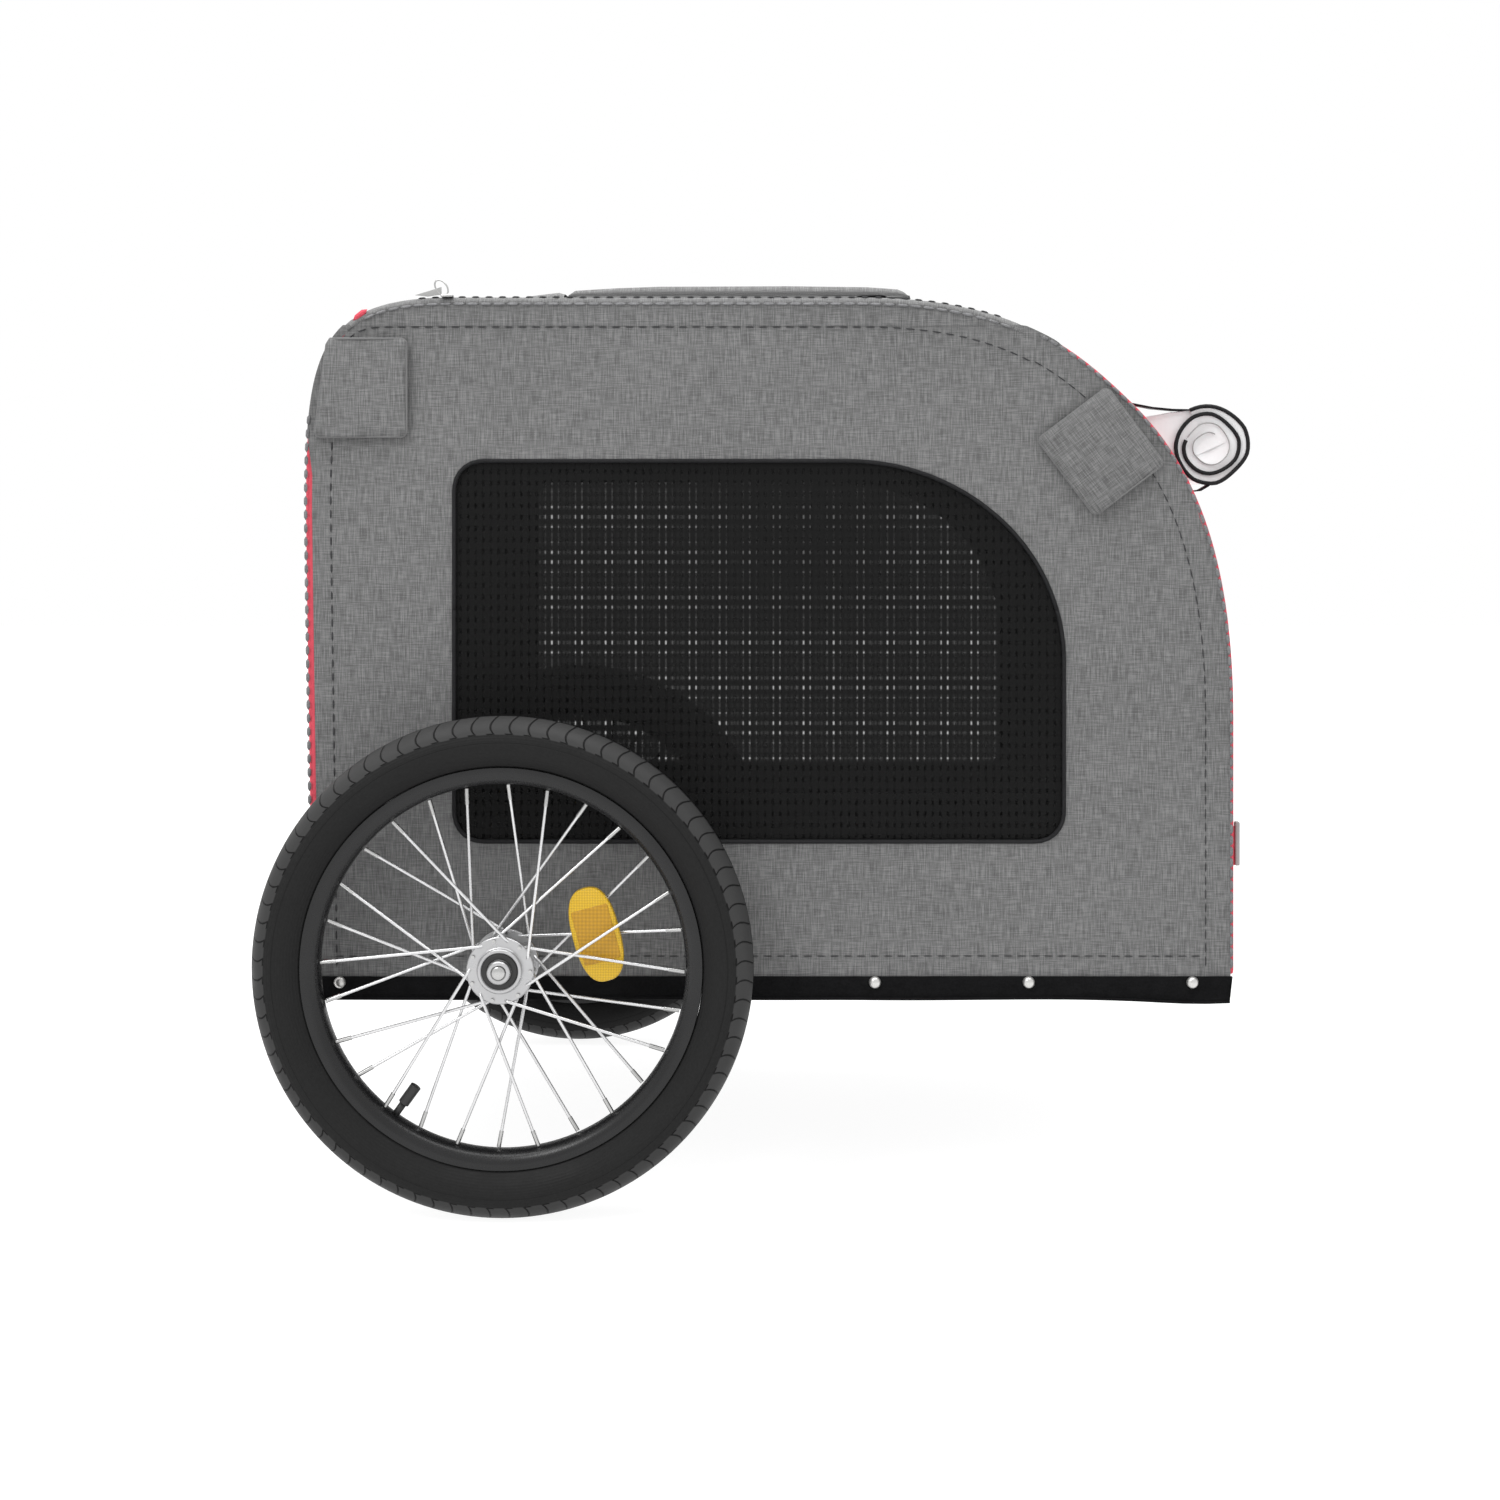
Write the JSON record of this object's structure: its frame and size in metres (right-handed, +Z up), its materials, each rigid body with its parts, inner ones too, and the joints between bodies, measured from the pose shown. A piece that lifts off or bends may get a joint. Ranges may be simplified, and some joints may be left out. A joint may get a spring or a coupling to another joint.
{
  "type": "bicycle trailer",
  "caption": "Folding bicycle trailer with a fabric cabin on a tube frame, mesh side windows, zipped doors, roof hatch, spoked wheels on pull-out axles and a stowed drawbar",
  "frame": {"origin": "centre of the whole trailer's box in plan, on the ground", "axes": "+X forward (towards the bicycle), +Y to the trailer's left, +Z up"},
  "size_m": [0.8086, 0.653, 0.75],
  "materials": {
    "grey_fabric": "grey melange woven polyester, matte",
    "red_fabric": "red woven polyester, matte",
    "skirt_fabric": "black coated fabric, satin",
    "window_mesh": "black polyester mesh",
    "frame_steel": "black powder coat",
    "plated_steel": "zinc plated, bright",
    "hub_and_spokes": "alloy shell with bright spokes",
    "tyre": "matte black rubber",
    "rim": "black coated alloy",
    "reflector": "amber transparent plastic",
    "trim_plastic": "black moulded plastic",
    "clear_vinyl": "clear soft vinyl, rolled",
    "floor_board": "black hollow-core board"
  },
  "bodies": {
    "base": {"axle_beam": "frame_steel", "axle_receiver_left": "frame_steel", "axle_receiver_right": "frame_steel", "base_wall_left": "grey_fabric", "base_wall_right": "grey_fabric", "crossbar_front": "frame_steel", "crossbar_rear": "frame_steel", "drawbar_bracket": "frame_steel", "floor_board": "floor_board", "side_frame_left": "frame_steel", "side_frame_right": "frame_steel", "skirt_front": "skirt_fabric", "skirt_left": "skirt_fabric", "skirt_rear": "skirt_fabric", "skirt_right": "skirt_fabric"},
    "roof": {"roof_frame": "frame_steel", "roof_panel": "grey_fabric"},
    "roof_hatch_body": {"roof_hatch": "grey_fabric"},
    "roof_zip": {"roof_zip_pull": "plated_steel"},
    "rear_door_body": {"rear_door": "red_fabric", "rear_door_mesh": "window_mesh"},
    "front_door_body": {"front_door": "red_fabric", "front_door_mesh": "window_mesh", "rain_cover_roll": "clear_vinyl"},
    "front_zip": {"front_zip_pull": "trim_plastic"},
    "drawbar_body": {"drawbar": "frame_steel"},
    "drawbar_plunger_body": {"drawbar_plunger": "plated_steel"},
    "hitch": {"hitch_coupler": "plated_steel"},
    "hitch_pin_body": {"hitch_pin": "plated_steel"},
    "left_lower": {"left_lower_frame": "frame_steel", "left_lower_panel": "grey_fabric", "left_lower_mesh": "window_mesh"},
    "left_upper": {"left_upper_frame": "frame_steel", "left_upper_panel": "grey_fabric", "left_upper_mesh": "window_mesh"},
    "rear_flap_left_body": {"rear_flap_left": "grey_fabric"},
    "front_flap_left_body": {"front_flap_left": "grey_fabric"},
    "axle_left_body": {"axle_left": "plated_steel"},
    "axle_button_left_body": {"axle_button_left": "plated_steel"},
    "wheel_left": {"tyre_left": "tyre", "rim_left": "rim", "hub_left": "hub_and_spokes", "bearings_left": "plated_steel", "reflector_left": "reflector"},
    "right_lower": {"right_lower_frame": "frame_steel", "right_lower_panel": "grey_fabric", "right_lower_mesh": "window_mesh"},
    "right_upper": {"right_upper_frame": "frame_steel", "right_upper_panel": "grey_fabric", "right_upper_mesh": "window_mesh"},
    "rear_flap_right_body": {"rear_flap_right": "grey_fabric"},
    "front_flap_right_body": {"front_flap_right": "grey_fabric"},
    "axle_right_body": {"axle_right": "plated_steel"},
    "axle_button_right_body": {"axle_button_right": "plated_steel"},
    "wheel_right": {"tyre_right": "tyre", "rim_right": "rim", "hub_right": "hub_and_spokes", "bearings_right": "plated_steel", "reflector_right": "reflector"}
  },
  "joints": [
    {"name": "fold", "type": "hinge", "parent": "base", "child": "left_lower", "pos_m": [0, 0.24, 0.258], "axis": [1, 0, 0], "range_deg": [0, 90]},
    {"name": "left_knee", "type": "hinge", "parent": "left_lower", "child": "left_upper", "pos_m": [0, 0.247, 0.479], "axis": [1, 0, 0], "range_deg": [-180, 0]},
    {"name": "roof_level", "type": "hinge", "parent": "left_upper", "child": "roof", "pos_m": [0, 0.24, 0.7], "axis": [1, 0, 0], "range_deg": [0, 90]},
    {"name": "right_fold", "type": "hinge", "parent": "base", "child": "right_lower", "pos_m": [0, -0.24, 0.258], "axis": [1, 0, 0], "range_deg": [-90, 0]},
    {"name": "right_knee", "type": "hinge", "parent": "right_lower", "child": "right_upper", "pos_m": [0, -0.247, 0.479], "axis": [1, 0, 0], "range_deg": [0, 180]},
    {"name": "hatch_hinge", "type": "hinge", "parent": "roof", "child": "roof_hatch_body", "pos_m": [-0.1633, 0, 0.737], "axis": [0, -1, 0], "range_deg": [0, 130]},
    {"name": "roof_zip_swing", "type": "hinge", "parent": "roof", "child": "roof_zip", "pos_m": [-0.2633, -0.236, 0.7385], "axis": [0, 1, 0], "range_deg": [0, 140]},
    {"name": "rear_door_hinge", "type": "hinge", "parent": "base", "child": "rear_door_body", "pos_m": [-0.3698, 0, 0.186], "axis": [0, -1, 0], "range_deg": [0, 100]},
    {"name": "front_door_hinge", "type": "hinge", "parent": "base", "child": "front_door_body", "pos_m": [0.3807, 0, 0.186], "axis": [0, 1, 0], "range_deg": [0, 90]},
    {"name": "front_zip_swing", "type": "hinge", "parent": "front_door_body", "child": "front_zip", "pos_m": [0.3852, -0.232, 0.297], "axis": [0, -1, 0], "range_deg": [0, 100]},
    {"name": "rear_flap_left_peel", "type": "hinge", "parent": "left_upper", "child": "rear_flap_left_body", "pos_m": [-0.3653, 0.2469, 0.6605], "axis": [0, 0, -1], "range_deg": [-150, 0]},
    {"name": "front_flap_left_peel", "type": "hinge", "parent": "left_upper", "child": "front_flap_left_body", "pos_m": [0.30355, 0.2469, 0.62986], "axis": [-0.6018, 0, 0.7986], "range_deg": [-150, 0]},
    {"name": "axle_left_pull", "type": "slide", "parent": "base", "child": "axle_left_body", "axis": [0, 1, 0], "range_m": [0, 0.08]},
    {"name": "wheel_left_spin", "type": "hinge", "parent": "axle_left_body", "child": "wheel_left", "pos_m": [-0.2053, 0.297, 0.199], "axis": [0, 1, 0], "continuous": true},
    {"name": "axle_button_left_press", "type": "slide", "parent": "axle_left_body", "child": "axle_button_left_body", "axis": [0, -1, 0], "range_m": [0, 0.002], "stiffness_N_per_m": 600, "springref_m": -0.001},
    {"name": "rear_flap_right_peel", "type": "hinge", "parent": "right_upper", "child": "rear_flap_right_body", "pos_m": [-0.3653, -0.2469, 0.6605], "axis": [0, 0, 1], "range_deg": [-150, 0]},
    {"name": "front_flap_right_peel", "type": "hinge", "parent": "right_upper", "child": "front_flap_right_body", "pos_m": [0.30355, -0.2469, 0.62986], "axis": [0.6018, 0, -0.7986], "range_deg": [-150, 0]},
    {"name": "axle_right_pull", "type": "slide", "parent": "base", "child": "axle_right_body", "axis": [0, -1, 0], "range_m": [0, 0.08]},
    {"name": "wheel_right_spin", "type": "hinge", "parent": "axle_right_body", "child": "wheel_right", "pos_m": [-0.2053, -0.297, 0.199], "axis": [0, 1, 0], "continuous": true},
    {"name": "axle_button_right_press", "type": "slide", "parent": "axle_right_body", "child": "axle_button_right_body", "axis": [0, 1, 0], "range_m": [0, 0.002], "stiffness_N_per_m": 600, "springref_m": -0.001},
    {"name": "drawbar_swing", "type": "hinge", "parent": "base", "child": "drawbar_body", "pos_m": [0.3597, 0.212, 0.138], "axis": [0, 0, 1], "range_deg": [0, 180]},
    {"name": "drawbar_plunger_pull", "type": "slide", "parent": "drawbar_body", "child": "drawbar_plunger_body", "axis": [0, 0, -1], "range_m": [0, 0.01], "stiffness_N_per_m": 300, "springref_m": -0.003},
    {"name": "hitch_swivel", "type": "hinge", "parent": "drawbar_body", "child": "hitch", "pos_m": [-0.2003, 0.212, 0.138], "axis": [1, 0, 0], "range_deg": [-60, 60]},
    {"name": "hitch_pin_pull", "type": "slide", "parent": "hitch", "child": "hitch_pin_body", "axis": [0, 0, -1], "range_m": [0, 0.032]}
  ],
  "couplings": [
    {"joint": "left_knee", "follows": "fold", "ratio": -2},
    {"joint": "roof_level", "follows": "fold", "ratio": 1},
    {"joint": "right_fold", "follows": "fold", "ratio": -1},
    {"joint": "right_knee", "follows": "fold", "ratio": 2}
  ]
}
